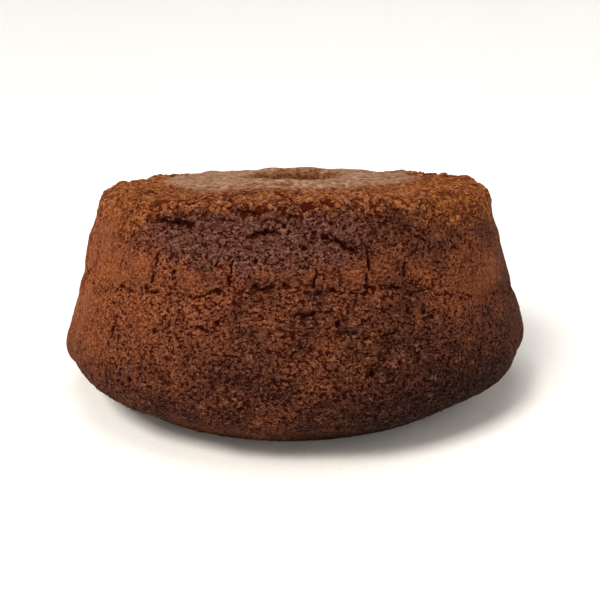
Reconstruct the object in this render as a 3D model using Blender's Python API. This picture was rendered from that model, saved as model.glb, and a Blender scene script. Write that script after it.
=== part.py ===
"""A plain chocolate ring cake, standing as it was turned out of a tapered tube tin.

The cake is one solid with a hole down its middle.  Its form is a closed outline with rounded corners, turned
about the upright axis, and a relief laid along the outline's own normals: the slow swell of the sides, the crags
of the shoulder, the hollow where the skin tore away in the tin, the ledge under the skin, the crease round the
smooth crown, and single dents.  Units are metres and +Z is up.  The origin is the middle of the face that the
cake rests on.
"""

import math

import bpy
import numpy as np

NAME = "ring_cake"

# The turned outline: corner radii and heights before rounding, and the rounding of each corner
HOLE_FOOT_RADIUS = 0.0165
HOLE_FOOT_ROUNDING = 0.002
FOOT_RADIUS = 0.090
FOOT_ROUNDING = 0.006
BELLY_RADIUS = 0.1120
BELLY_HEIGHT = 0.0185
BELLY_ROUNDING = 0.015
SHOULDER_RADIUS = 0.0873
SHOULDER_HEIGHT = 0.0890
SHOULDER_ROUNDING = 0.0075
CREASE_RADIUS = 0.0500
CREASE_HEIGHT = 0.0887
CREASE_ROUNDING = 0.006
LIP_RADIUS = 0.0215
LIP_HEIGHT = 0.0906
LIP_ROUNDING = 0.004

# How finely the surface is laid out: spacing of the rows along the outline, and columns round the axis
FINE_ROW = 0.0044
CROWN_ROW = 0.0052
HOLE_ROW = 0.0085
BASE_ROW = 0.0150
FINE_COLUMNS = 144
CROWN_COLUMNS = FINE_COLUMNS // 2
HOLE_COLUMNS = FINE_COLUMNS // 4
OUTLINE_STEP = 0.0005

# Slow swell of the whole cake, and the crags of the torn and crumbly places
SWELL_LENGTH = 0.046
SWELL_DEPTH = 0.0005
CRAG_LENGTH = 0.0145
CRAG_DEPTH = 0.0005
SKIN_CRAG_SHARE = 0.35
SWELL_SEED = 11
CRAG_SEED = 23
WAVE_COUNT = 28
WAVE_SPREAD = (0.75, 1.35)

# The ledge: a crack that runs round the wall under the smoother skin, in shallow scallops
LEDGE_HEIGHT = 0.0590
LEDGE_SCALLOP = 0.0016
LEDGE_SCALLOPS = 13
LEDGE_HALF_WIDTH = 0.0052
LEDGE_DEPTH = 0.0010
LEDGE_SIDE_SHARE = 0.35

# The crown's crease: a groove round the smooth skin in the middle of the top, whose centre lies off the axis
CROWN_CENTRE = (-0.0050, 0.0260)
CROWN_RADIUS = 0.0630
CROWN_WANDER = 0.0030
CROWN_LOBES = 5
CREASE_HALF_WIDTH = 0.0048
CREASE_DEPTH = 0.0011

# Places where the skin tore away: azimuth in degrees, height, half angle, half height, depth
TORN_EDGE = (1.25, 0.75)
TORN_CRUMBLY_FROM = 0.0006
TORN_PLACES = (
    (-92.0, 0.0770, 30.0, 0.0085, 0.0012),
    (28.0, 0.0740, 20.0, 0.0070, 0.0009),
    (118.0, 0.0765, 26.0, 0.0080, 0.0011),
)

# Broad bulges and dips of the sides and the top: azimuth, radius, height, half size, depth (minus for a dip)
BULGES = (
    (0.0, 0.0920, 0.0760, 0.0260, 0.0010),
    (-4.0, 0.1030, 0.0460, 0.0120, 0.0010),
    (182.0, 0.0930, 0.0720, 0.0140, 0.0006),
    (184.0, 0.1050, 0.0350, 0.0140, 0.0005),
    (202.0, 0.1000, 0.0515, 0.0125, -0.0032),
    (202.0, 0.1040, 0.0410, 0.0300, -0.0024),
    (200.0, 0.1070, 0.0170, 0.0150, 0.0026),
    (-22.0, 0.1060, 0.0200, 0.0130, 0.0012),
    (-20.0, 0.0885, 0.0850, 0.0080, 0.0010),
    (190.0, 0.0860, 0.0870, 0.0140, -0.0012),
    (196.0, 0.1040, 0.0120, 0.0150, 0.0010),
    (-10.0, 0.0840, 0.0880, 0.0130, -0.0010),
    (56.0, 0.0780, 0.0890, 0.0200, -0.0014),
    (100.0, 0.0240, 0.0905, 0.0300, 0.0022),
    (58.0, 0.0240, 0.0905, 0.0220, 0.0018),
)

# Dents and lost crumbs: azimuth, radius, height, half size, depth
DENTS = (
    (-55.0, 0.0866, 0.0875, 0.0055, 0.0018),
    (-36.0, 0.0807, 0.0890, 0.0050, 0.0015),
    (-3.0, 0.0688, 0.0890, 0.0060, 0.0014),
    (-67.0, 0.0600, 0.0890, 0.0045, 0.0012),
    (-119.0, 0.0898, 0.0818, 0.0060, 0.0017),
    (-76.0, 0.1064, 0.0329, 0.0042, 0.0013),
    (-124.0, 0.1086, 0.0265, 0.0045, 0.0011),
    (74.0, 0.0850, 0.0880, 0.0055, 0.0016),
    (142.0, 0.0960, 0.0660, 0.0050, 0.0014),
    (38.0, 0.1030, 0.0440, 0.0050, 0.0013),
)

# The baked crumb of the outside
CRUMB_COLOUR = (0.150, 0.054, 0.025, 1.0)
CRUMB_ROUGHNESS = 0.92


def smooth_step(low, high, value):
    """0 below low, 1 above high, and the smooth cubic 3t^2 - 2t^3 between them."""
    t = np.clip((value - low) / (high - low), 0.0, 1.0)
    return t * t * (3.0 - 2.0 * t)


def soft_spot(distance):
    """A round spot: 1 in the middle, falling as (1 - d^2)^2 to 0 at distance 1."""
    return np.clip(1.0 - distance * distance, 0.0, None) ** 2


def outline_corners():
    """The corners of half the cake's section, from the hole's foot outwards and round to its lip."""
    return (
        (HOLE_FOOT_RADIUS, 0.0, HOLE_FOOT_ROUNDING),
        (FOOT_RADIUS, 0.0, FOOT_ROUNDING),
        (BELLY_RADIUS, BELLY_HEIGHT, BELLY_ROUNDING),
        (SHOULDER_RADIUS, SHOULDER_HEIGHT, SHOULDER_ROUNDING),
        (CREASE_RADIUS, CREASE_HEIGHT, CREASE_ROUNDING),
        (LIP_RADIUS, LIP_HEIGHT, LIP_ROUNDING),
    )


def rounded_outline(corners, step):
    """A closed polygon whose corners are arcs, sampled evenly.

    Each arc touches both sides of its corner at rounding / tan(half angle) from it, and straight sides join
    the arcs.
    """
    points = []
    places = np.array([corner[:2] for corner in corners])
    for index, (_, _, rounding) in enumerate(corners):
        corner = places[index]
        back = places[index - 1] - corner
        ahead = places[(index + 1) % len(places)] - corner
        back /= np.linalg.norm(back)
        ahead /= np.linalg.norm(ahead)
        half = math.acos(float(back @ ahead)) / 2.0
        bisector = (back + ahead) / np.linalg.norm(back + ahead)
        centre = corner + bisector * rounding / math.sin(half)
        start = corner + back * rounding / math.tan(half) - centre
        end = corner + ahead * rounding / math.tan(half) - centre
        turn = math.pi - 2.0 * half
        share = np.linspace(0.0, 1.0, max(3, int(rounding * turn / step) + 2))[:, None]
        arc = (np.sin((1.0 - share) * turn) * start + np.sin(share * turn) * end) / math.sin(turn)
        points.append(centre + arc)
    points = np.concatenate(points)
    closed = np.vstack([points, points[:1]])
    run = np.concatenate([[0.0], np.cumsum(np.linalg.norm(np.diff(closed, axis=0), axis=1))])
    even = np.arange(0.0, run[-1], step)
    return np.stack([np.interp(even, run, closed[:, 0]), np.interp(even, run, closed[:, 1])], axis=1)


def row_places(outline):
    """The rows that the surface is built from, as (index on the outline, columns round the axis).

    Walking the outline, a new row starts whenever the spacing wanted there has been covered.  The base and
    the hole are plain, so they take wide rows and few columns, and the wall and the shoulder take the most.
    """
    rows = []
    walked = math.inf
    for index, (radius, height) in enumerate(outline):
        on_top = height > CREASE_HEIGHT - CREASE_ROUNDING
        inner = radius < LIP_RADIUS + LIP_ROUNDING
        if inner and height < HOLE_FOOT_ROUNDING:
            wanted, columns = HOLE_FOOT_ROUNDING, HOLE_COLUMNS
        elif height == 0.0 and radius < FOOT_RADIUS - FOOT_ROUNDING:
            wanted, columns = BASE_ROW, HOLE_COLUMNS if radius < CREASE_RADIUS else CROWN_COLUMNS
        elif inner and not on_top:
            wanted, columns = HOLE_ROW, HOLE_COLUMNS
        elif radius < CREASE_RADIUS - CREASE_ROUNDING:
            wanted, columns = (CROWN_ROW, HOLE_COLUMNS) if inner else (CROWN_ROW, CROWN_COLUMNS)
        else:
            wanted, columns = FINE_ROW, FINE_COLUMNS
        if walked >= wanted:
            rows.append((index, columns))
            walked = 0.0
        walked += OUTLINE_STEP
    return rows


def wave_field(points, length, seed):
    """A smooth field in space: the sum of plane cosine waves of about one length, in random directions."""
    draw = np.random.default_rng(seed)
    directions = draw.normal(size=(WAVE_COUNT, 3))
    directions /= np.linalg.norm(directions, axis=1)[:, None]
    turns = 2.0 * np.pi / (length * draw.uniform(*WAVE_SPREAD, WAVE_COUNT))
    phases = draw.uniform(0.0, 2.0 * np.pi, WAVE_COUNT)
    return np.cos(points @ (directions * turns[:, None]).T + phases).sum(axis=1) * math.sqrt(2.0 / WAVE_COUNT)


def angle_from(azimuth, degrees):
    """The signed angle from an azimuth given in degrees, between -pi and pi."""
    return (azimuth - math.radians(degrees) + np.pi) % (2.0 * np.pi) - np.pi


def torn_depth(azimuth, height):
    """Depth of the places without skin: soft ellipses in azimuth and height, steeper at their edges."""
    depth = np.zeros_like(azimuth)
    for degrees, middle, half_angle, half_height, deep in TORN_PLACES:
        across = angle_from(azimuth, degrees) / math.radians(half_angle)
        up = (height - middle) / half_height
        depth = np.maximum(depth, deep * smooth_step(*TORN_EDGE, np.hypot(across, up)))
    return depth


def spots(points, places):
    """Sum of round spots given by azimuth, radius, height, half size and depth."""
    total = np.zeros(len(points))
    for degrees, radius, height, half_size, depth in places:
        turn = math.radians(degrees)
        middle = np.array([radius * math.cos(turn), radius * math.sin(turn), height])
        total += depth * soft_spot(np.linalg.norm(points - middle, axis=1) / half_size)
    return total


def ledge_groove(azimuth, height):
    """The crack under the skin: a groove along a height that rises and falls in rounded scallops.

    It is deepest at the front and the back and fades towards the two sides.
    """
    scallop = np.abs(np.sin(azimuth * LEDGE_SCALLOPS / 2.0)) - 0.5 + 0.5 * np.sin(2.0 * azimuth)
    line = LEDGE_HEIGHT + LEDGE_SCALLOP * scallop
    share = LEDGE_SIDE_SHARE + (1.0 - LEDGE_SIDE_SHARE) * np.abs(np.sin(azimuth))
    return LEDGE_DEPTH * share * soft_spot((height - line) / LEDGE_HALF_WIDTH)


def crease_groove(points, azimuth):
    """The crease of the crown: a groove along a wandering circle, set off towards the back."""
    distance = np.hypot(points[:, 0] - CROWN_CENTRE[0], points[:, 1] - CROWN_CENTRE[1])
    line = CROWN_RADIUS + CROWN_WANDER * np.sin(CROWN_LOBES * azimuth)
    top_starts = SHOULDER_HEIGHT - SHOULDER_ROUNDING
    on_top = smooth_step(top_starts, top_starts + SHOULDER_ROUNDING / 2.0, points[:, 2])
    return CREASE_DEPTH * soft_spot((distance - line) / CREASE_HALF_WIDTH) * on_top


def relief(points, azimuth):
    """How far the surface stands out from the turned form, as a sum of the parts named above.

    It fades to nothing at the foot and in the hole, so that the cake rests flat and the tube's wall stays
    plain.
    """
    radius = np.hypot(points[:, 0], points[:, 1])
    height = points[:, 2]
    torn = torn_depth(azimuth, height)
    high_up = smooth_step(BELLY_HEIGHT, SHOULDER_HEIGHT, height)
    outside = smooth_step(CREASE_RADIUS, SHOULDER_RADIUS, radius)
    crumbly = np.clip(smooth_step(0.0, TORN_CRUMBLY_FROM, torn) + high_up * outside, 0.0, 1.0)
    out = SWELL_DEPTH * wave_field(points, SWELL_LENGTH, SWELL_SEED)
    crags = CRAG_DEPTH * wave_field(points, CRAG_LENGTH, CRAG_SEED)
    out += crags * (SKIN_CRAG_SHARE + (1.0 - SKIN_CRAG_SHARE) * crumbly)
    out -= torn + ledge_groove(azimuth, height) + crease_groove(points, azimuth)
    out += spots(points, BULGES) - spots(points, DENTS)
    above_foot = smooth_step(0.0, FOOT_ROUNDING * 2.0, height)
    out_of_hole = smooth_step(HOLE_FOOT_RADIUS, LIP_RADIUS + LIP_ROUNDING, radius)
    return out * above_foot * out_of_hole


def turned_row(outline, index, columns):
    """One ring of points: a place on the outline turned about the axis and pushed out by the relief."""
    place = outline[index]
    ahead = outline[(index + 1) % len(outline)] - outline[index - 1]
    out = np.array([ahead[1], -ahead[0]]) / np.linalg.norm(ahead)
    azimuth = np.arange(columns) * 2.0 * np.pi / columns
    turned = np.stack([np.cos(azimuth), np.sin(azimuth)], axis=1)
    base = np.column_stack([turned * place[0], np.full(columns, place[1])])
    normal = np.column_stack([turned * out[0], np.full(columns, out[1])])
    return base + normal * relief(base, azimuth)[:, None]


def ring_faces(first, columns, following, following_columns):
    """Triangles between two rings of points; the second may have half or twice the columns of the first."""
    faces = []
    if columns == following_columns:
        for column in range(columns):
            beside = (column + 1) % columns
            a, b = first + column, first + beside
            c, d = following + beside, following + column
            faces += [(a, b, c), (a, c, d)]
    elif columns == 2 * following_columns:
        for column in range(following_columns):
            a, b, c = (first + (2 * column + step) % columns for step in range(3))
            d, e = following + column, following + (column + 1) % following_columns
            faces += [(a, b, d), (b, e, d), (b, c, e)]
    else:
        for column in range(columns):
            a, b = first + column, first + (column + 1) % columns
            c, d, e = (following + (2 * column + step) % following_columns for step in range(3))
            faces += [(a, d, c), (a, b, d), (b, e, d)]
    return faces


def cake_mesh():
    """The closed skin of the cake: every ring joined to the next, and the last to the first down the hole."""
    outline = rounded_outline(outline_corners(), OUTLINE_STEP)
    rows = row_places(outline)
    rings = [turned_row(outline, index, columns) for index, columns in rows]
    starts = np.concatenate([[0], np.cumsum([columns for _, columns in rows])])
    faces = []
    for row, (_, columns) in enumerate(rows):
        following = (row + 1) % len(rows)
        faces += ring_faces(int(starts[row]), columns, int(starts[following]), rows[following][1])
    mesh = bpy.data.meshes.new(NAME)
    mesh.from_pydata(np.concatenate(rings).tolist(), [], faces)
    mesh.validate()
    mesh.shade_smooth()
    return mesh


def crumb_material():
    """Baked chocolate crumb: dull, dry and brown."""
    material = bpy.data.materials.new("chocolate_crumb")
    material.use_nodes = True
    shader = material.node_tree.nodes["Principled BSDF"]
    shader.inputs["Base Color"].default_value = CRUMB_COLOUR
    shader.inputs["Roughness"].default_value = CRUMB_ROUGHNESS
    shader.inputs["Metallic"].default_value = 0.0
    return material


def main():
    for item in list(bpy.data.objects):
        bpy.data.objects.remove(item, do_unlink=True)
    cake = bpy.data.objects.new(NAME, cake_mesh())
    cake.data.materials.append(crumb_material())
    bpy.context.scene.collection.objects.link(cake)


main()
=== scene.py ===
"""The look of a plain chocolate ring cake, standing as it was turned out of a tapered tube tin.

The cake's surface is one closed outline turned about the upright axis.  Along its normals are laid the form's
own relief and then the grain of the crumb.  The surface is cut into bands, and each band is a closed ring whose
two sides run in to the middle of the cake's section.  Units are metres and +Z is up.
"""

import math

import bpy
import numpy as np
from mathutils import Matrix, Vector


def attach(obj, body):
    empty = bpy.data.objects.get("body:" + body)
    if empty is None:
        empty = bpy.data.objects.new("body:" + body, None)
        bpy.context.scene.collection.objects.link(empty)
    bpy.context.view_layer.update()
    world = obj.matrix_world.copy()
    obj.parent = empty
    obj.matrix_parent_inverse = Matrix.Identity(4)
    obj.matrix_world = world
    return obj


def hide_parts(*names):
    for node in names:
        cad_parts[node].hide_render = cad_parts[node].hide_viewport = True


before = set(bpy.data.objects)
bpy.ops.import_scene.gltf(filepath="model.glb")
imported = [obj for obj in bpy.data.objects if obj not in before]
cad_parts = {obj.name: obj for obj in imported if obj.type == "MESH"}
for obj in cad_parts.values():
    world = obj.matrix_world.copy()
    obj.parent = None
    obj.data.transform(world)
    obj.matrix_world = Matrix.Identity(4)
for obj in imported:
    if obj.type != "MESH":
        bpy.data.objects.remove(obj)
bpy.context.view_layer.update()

NODE = "ring_cake"
BODY = "root"
MM = 0.001

# The turned outline: corner radii and heights before rounding, and the rounding of each corner
HOLE_FOOT_RADIUS = 0.0165
HOLE_FOOT_ROUNDING = 0.002
FOOT_RADIUS = 0.090
FOOT_ROUNDING = 0.006
BELLY_RADIUS = 0.1120
BELLY_HEIGHT = 0.0185
BELLY_ROUNDING = 0.015
SHOULDER_RADIUS = 0.0873
SHOULDER_HEIGHT = 0.0890
SHOULDER_ROUNDING = 0.0075
CREASE_RADIUS = 0.0500
CREASE_HEIGHT = 0.0887
CREASE_ROUNDING = 0.006
LIP_RADIUS = 0.0215
LIP_HEIGHT = 0.0906
LIP_ROUNDING = 0.004

# Slow swell of the whole cake, and the crags of the torn and crumbly places
SWELL_LENGTH = 0.046
SWELL_DEPTH = 0.0004
CRAG_LENGTH = 0.0145
CRAG_DEPTH = 0.0003
SKIN_CRAG_SHARE = 0.20
SWELL_SEED = 11
CRAG_SEED = 23
WAVE_COUNT = 28
WAVE_SPREAD = (0.75, 1.35)

# The ledge: a crack that runs round the wall under the smoother skin, in shallow scallops
LEDGE_HEIGHT = 0.0605
LEDGE_DROP = 0.0150
LEDGE_DROP_RIGHT = 0.0060
LEDGE_SCALLOP = 0.0016
LEDGE_SCALLOPS = 13
LEDGE_HALF_WIDTH = 0.0052
LEDGE_DEPTH = 0.0010
LEDGE_SIDE_SHARE = 0.35

# The crown's crease: a groove round the smooth skin in the middle of the top, whose centre lies off the axis
CROWN_CENTRE = (-0.0050, 0.0260)
CROWN_RADIUS = 0.0630
CROWN_WANDER = 0.0010
CROWN_LOBES = 5
CREASE_HALF_WIDTH = 0.0048
CREASE_DEPTH = 0.0006

# The painted shade of a fine crack just inside the crease, a dark line with no depth: its distances are shrunk to widen
# it, and it fades away from its middle
CREASE_LINE_INSET = 0.0015
CREASE_LINE_SHARE = 0.38
CREASE_LINE_WANDER_SHARE = 0.25
CREASE_LINE_MIDDLE = -140.0
CREASE_LINE_HALF_ANGLE = 80.0
CREASE_LINE_BREAKS = (-0.35, 0.10)

# Places where the skin tore away: azimuth in degrees, height, half angle, half height, depth
TORN_EDGE = (1.25, 0.75)
TORN_CRUMBLY_FROM = 0.0006
TORN_PLACES = (
    (-92.0, 0.0770, 30.0, 0.0085, 0.0012),
    (28.0, 0.0740, 20.0, 0.0070, 0.0009),
    (118.0, 0.0765, 26.0, 0.0080, 0.0011),
)

# Broad bulges and dips of the sides and the top: azimuth, radius, height, half size, depth (minus for a dip)
BULGES = (
    (0.0, 0.0920, 0.0760, 0.0260, 0.0010),
    (-4.0, 0.1030, 0.0460, 0.0120, 0.0010),
    (182.0, 0.0930, 0.0720, 0.0140, 0.0006),
    (184.0, 0.1050, 0.0350, 0.0140, 0.0005),
    (202.0, 0.1000, 0.0515, 0.0125, -0.0032),
    (202.0, 0.1040, 0.0410, 0.0300, -0.0024),
    (200.0, 0.1070, 0.0170, 0.0150, 0.0026),
    (-22.0, 0.1060, 0.0200, 0.0130, 0.0012),
    (-20.0, 0.0885, 0.0850, 0.0080, 0.0010),
    (190.0, 0.0860, 0.0870, 0.0140, -0.0012),
    (196.0, 0.1040, 0.0120, 0.0150, 0.0010),
    (-10.0, 0.0840, 0.0880, 0.0130, -0.0010),
    (56.0, 0.0780, 0.0890, 0.0200, -0.0014),
    (100.0, 0.0240, 0.0905, 0.0300, 0.0022),
    (58.0, 0.0240, 0.0905, 0.0220, 0.0018),
)

# Dents and lost crumbs: azimuth, radius, height, half size, depth
DENTS = (
    (-55.0, 0.0866, 0.0875, 0.0055, 0.0018),
    (-36.0, 0.0807, 0.0890, 0.0050, 0.0015),
    (-3.0, 0.0688, 0.0890, 0.0060, 0.0014),
    (-67.0, 0.0600, 0.0890, 0.0045, 0.0012),
    (-119.0, 0.0898, 0.0818, 0.0060, 0.0017),
    (-76.0, 0.1064, 0.0329, 0.0042, 0.0013),
    (-124.0, 0.1086, 0.0265, 0.0045, 0.0011),
    (74.0, 0.0850, 0.0880, 0.0055, 0.0016),
    (142.0, 0.0960, 0.0660, 0.0050, 0.0014),
    (38.0, 0.1030, 0.0440, 0.0050, 0.0013),
)

# How finely the surface is laid out: rows along the outline, and columns round the axis, which halve inwards
OUTLINE_STEP = 0.0001
FINE_ROW = 0.0004
TUBE_ROW = 0.0007
BASE_ROW = 0.0020
FULL_COLUMNS = 1800
HALF_COLUMNS_WITHIN = 0.062
QUARTER_COLUMNS_WITHIN = 0.033
FEWEST_COLUMNS = 225

# What stands in for the area of triangles that have none
NO_AREA = 1e-20

# The hidden sides of a band: how far under the surface they start, where they meet, and where their rings lie
SIDE_DEPTH = 0.003
SECTION_MIDDLE = (0.053, 0.045)
SIDE_SHARES = (0.08, 0.25, 1.0)

# The bands, walking from the hole's foot outwards, up the wall and back to the hole: name, where each ends
BAND_ENDS = (
    ("foot_crust", "height", 0.0038),
    ("belly_crust", "height", 0.0170),
    ("lower_wall_crust", "height", 0.0355),
    ("middle_wall_crust", "height", 0.0540),
    ("ledge_crust", "height", 0.0720),
    ("shoulder_crust", "height", 0.0884),
    ("top_crumb", "radius", 0.0645),
    ("crown_skin", "radius", 0.0215),
    ("tube_crust", "radius", 0.0),
)

# The random lattice under every pattern: its size, the gain of its noise, and where a dome may lie in its cell
LATTICE = 256
NOISE_GAIN = 1.6
DOME_JITTER = (0.15, 0.85)

# The grain of the crumb: how far its places are bent and flattened, so that no two grains are alike
FLATTENING = (1.3, 1.3, 1.0)
WARP_LENGTH = 2.4 * MM
WARP_DEPTH = 0.60 * MM
WARP_SEEDS = (71, 73, 75)
CLUMP_LENGTH = 5.0 * MM
CLUMP_DEPTH = 0.30 * MM
CLUMP_SEED = 85

# Grains, broken bubbles, wide pores, crumbs that stayed on, shoulder crumbs: seed, cell, share of cells, sizes, height
GRAIN_HEIGHT = 0.50 * MM
SHOULDER_CRUMB_HEIGHT = 2.00 * MM
GRAINS = (81, 1.20 * MM, 0.92, (0.44, 0.80), GRAIN_HEIGHT)
BUBBLES = (86, 1.9 * MM, 0.30, (0.22, 0.42), 0.70 * MM)
PORES = (87, 4.2 * MM, 0.14, (0.16, 0.30), 1.10 * MM)
LUMPS = (89, 3.4 * MM, 0.45, (0.20, 0.42), 0.55 * MM)
SHOULDER_CRUMBS = (95, 2.4 * MM, 0.96, (0.55, 0.89), SHOULDER_CRUMB_HEIGHT)

# What is taken off those heights: the middle height of the domes, and how far the crumbs of the top are sunk
GRAIN_MIDDLE = 0.42 * GRAIN_HEIGHT
SHOULDER_CRUMB_MIDDLE = 0.42 * SHOULDER_CRUMB_HEIGHT
TOP_SUNK = 0.0006
TOP_RADII = (0.0845, 0.0770)

# Shares of those depths: shoulder crumbs away from torn places, pits in closed crumb, and all grain at the base
SHOULDER_CRUMBS_ASIDE = 0.45
PITTED_ALWAYS = 0.35
BASE_GRAIN_SHARE = 0.15

# The grain value: the depth that gives 1, and how much of the shoulder's crumbs and of the cracks goes into it
TONE_DEPTH = 0.60 * MM
SHOULDER_TONE_SHARE = 0.30
CRACK_TONE_SHARE = 1.2

# How open the crumb is, as a share of those depths, where the cake was against the tin, tore, or rose freely
OPEN_WALL = 0.85
OPEN_BAND = 0.52
OPEN_FOOT = 0.75
OPEN_BASE = 0.25
OPEN_SHOULDER = 0.50
OPEN_TORN = 1.15
OPEN_CROWN = 0.20
OPEN_TUBE = 0.35
OPEN_DRY_LIT = 0.50
OPEN_CALM = 0.42
OPEN_WANDER = 0.30
OPEN_PATCH_LENGTH = 16.0 * MM
OPEN_PATCH_SEED = 61
BAND_HEIGHTS = (0.0610, 0.0705)
BAND_EDGE = 0.0020
BASE_EDGE = 0.0010

# Where the grain is calm: at the two sides, between these sines of the azimuth, and partly where it browned
CALM_SINES = (0.80, 0.45)
CALM_RAGGED = 0.10
BROWNED_CALM = 0.45

# The lower edge of the crumbly shoulder: its height, how much higher it lies over a torn place, and its fringe
SHOULDER_EDGE = 0.0785
SHOULDER_EDGE_RISE = 0.0090
SHOULDER_EDGE_REACH = (1.35, 0.75)
SHOULDER_FRINGE = 0.0055
FRINGE_LENGTH = 5.0 * MM
FRINGE_DEPTH = 0.0022
FRINGE_SEED = 51

# The edge of the crown's skin: how far outside the crease it lies, and how far further in at the left
SKIN_HEIGHTS = (SHOULDER_HEIGHT - SHOULDER_ROUNDING, SHOULDER_HEIGHT - 0.002)
SKIN_OUTSET = 0.0060
SKIN_LEFT_INSET = 0.0085
SKIN_LEFT_REACH = (-0.040, -0.066)
SKIN_FRINGE = 0.0058
SKIN_FRINGE_SHARE = 1.5
SKIN_WANDER = 0.0018
SKIN_WANDER_LENGTH = 14.0 * MM
SKIN_WANDER_SEED = 53

# The edge of the tube's own crust, by radius
TUBE_EDGE = (0.0270, 0.0205)
TUBE_FRINGE = 0.0030

# Dark torn crumb, dried-out crust that also carries painted light, and painted shade: azimuth, height, half angle, half
# height, share
PATCH_FRINGE_SHARE = 2.0
TORN_PATCHINESS = 0.25
TORN_PATCH_SEED = 55
DARK_TORN_EDGE = (1.30, 0.60)
DARK_TORN_PLACES = (
    (-99.0, 0.0775, 26.0, 0.0105, 1.15),
    (28.0, 0.0740, 20.0, 0.0085, 0.9),
    (118.0, 0.0765, 26.0, 0.0095, 1.1),
)
PATCH_EDGE = (1.4, 0.3)
# Dried-out crust, paler partly by its own colour and partly as painted light
DRY_LIT_PLACES = (
    (-163.0, 0.0540, 52.0, 0.0345, 1.0),
    (-46.0, 0.0580, 17.0, 0.0120, 0.6),
    (62.0, 0.0300, 38.0, 0.0300, 0.8),
)
# Painted shade: crust coloured darker at the foot and on the shaded right and lower parts of the wall
PAINTED_SHADE_PLACES = (
    (-70.0, 0.0300, 26.0, 0.0300, 0.50),
    (-69.0, 0.0775, 13.0, 0.0110, 0.42),
    (-58.0, 0.0120, 42.0, 0.0290, 1.0),
    (-126.0, 0.0180, 26.0, 0.0160, 0.65),
    (128.0, 0.0280, 44.0, 0.0300, 0.5),
)
PAINTED_SHADE_HEIGHTS = (0.064, 0.034)
PAINTED_SHADE_FOOT_SHARE = 0.42

# Cracks seen at the front: azimuth and height of the middle, length, tilt from level, width, depth
CRACKS = (
    (-118.0, 0.0815, 0.0165, -4.0, 0.0011, 0.0018),
    (-121.0, 0.0660, 0.0120, 84.0, 0.0007, 0.0012),
    (-116.0, 0.0645, 0.0040, 78.0, 0.0007, 0.0011),
    (-106.0, 0.0695, 0.0040, 70.0, 0.0007, 0.0011),
    (-103.0, 0.0660, 0.0090, 84.0, 0.0008, 0.0014),
    (-86.0, 0.0645, 0.0060, 80.0, 0.0007, 0.0012),
    (-75.0, 0.0665, 0.0130, 78.0, 0.0008, 0.0014),
    (-67.0, 0.0635, 0.0090, 84.0, 0.0007, 0.0013),
    (-97.0, 0.0790, 0.0100, 12.0, 0.0010, 0.0015),
    (-84.0, 0.0775, 0.0080, -20.0, 0.0010, 0.0016),
    (-79.0, 0.0745, 0.0090, -38.0, 0.0011, 0.0017),
    (-101.0, 0.0860, 0.0120, -6.0, 0.0008, 0.0012),
    (-88.0, 0.0535, 0.0090, 8.0, 0.0007, 0.0011),
    (-108.0, 0.0480, 0.0070, -12.0, 0.0007, 0.0010),
    (-72.0, 0.0455, 0.0080, 14.0, 0.0007, 0.0010),
)
LEDGE_CRACK_WIDTH = 0.0006
LEDGE_CRACK_DEPTH = 0.0010
LEDGE_CRACK_BREAKS = (-0.25, 0.05)
LEDGE_CRACK_BREAK_LENGTH = 4.5 * MM
LEDGE_CRACK_BREAK_SEED = 43
LEDGE_WANDER = 2.4 * MM
LEDGE_WANDER_LENGTH = 7.0 * MM
LEDGE_WANDER_SEED = 49

# How every crack wanders (seed, length, reach), fades, and how near to its line a place is still part of it
CRACK_WANDER_MOST = 1.0 * MM
CRACK_WANDERS = ((41, 2.6 * MM, CRACK_WANDER_MOST), (45, 1.2 * MM, 0.55 * MM))
CRACK_FADE = (-0.60, -0.05)
CRACK_FADE_LENGTH = 2.6 * MM
CRACK_FADE_SEED = 47
CRACK_REACH = 0.0014
# The widths of the painted shade along a crack, a dark line
CRACK_SHADE_LINE = (0.32 * MM, 0.08 * MM)

# More cracks of the same kinds all round, drawn at random: how many, and the range of each measure
STRAY_CRACKS = 44
STRAY_SEED = 305
STRAY_FRONT = (-130.0, -58.0)
STRAY_LEVEL_SHARE = 0.6
STRAY_LEVEL_TILT = (0.0, 14.0)
STRAY_UPRIGHT_TILT = (90.0, 12.0)
STRAY_HEIGHTS = (0.020, 0.084)
STRAY_LENGTHS = (0.0035, 0.0120)
STRAY_WIDTHS = (0.0006, 0.0010)
STRAY_DEPTHS = (0.0008, 0.0015)

# Single deep pits seen at the front: azimuth, height, half size, depth
PITS = (
    (-76.0, 0.0330, 0.0015, 0.0016),
    (-124.0, 0.0265, 0.0014, 0.0014),
    (-98.0, 0.0700, 0.0011, 0.0013),
    (-88.0, 0.0740, 0.0010, 0.0012),
    (-92.0, 0.0810, 0.0011, 0.0013),
    (-119.0, 0.0450, 0.0012, 0.0013),
    (-105.0, 0.0505, 0.0012, 0.0013),
    (-82.0, 0.0500, 0.0013, 0.0014),
    (-64.0, 0.0510, 0.0012, 0.0014),
)

# Crumbs that came loose and cling to the shoulder and the top: how many, their radii, and how lumpy and sunk
LOOSE_CRUMBS = 800
LOOSE_ASIDE = 0.15
LOOSE_SEED = 411
LOOSE_LOW = 0.0800
LOOSE_RADII = (0.35 * MM, 1.10 * MM)
LOOSE_SMALL_MANY = 3.0
LOOSE_STRETCH = (0.70, 1.15)
LOOSE_LUMPINESS = 0.20
LOOSE_SUNK = (-0.75, -0.15)
LOOSE_RINGS = 4
LOOSE_COLUMNS = 7
LOOSE_OPEN = 0.25
LOOSE_TONES = (-0.10, 0.70)
LOOSE_MAP_MARGIN = 0.05

# Furrows of the crown's skin, which run round the hole, and lobes down the tube's wall
FURROW_LENGTHS = (13.0 * MM, 2.6 * MM)
FURROW_DEPTH = 0.30 * MM
FURROW_SEED = 91
TUBE_LOBE_LENGTHS = (3.4 * MM, 12.0 * MM)
TUBE_LOBE_DEPTH = 0.40 * MM
TUBE_LOBE_SEED = 93

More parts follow.
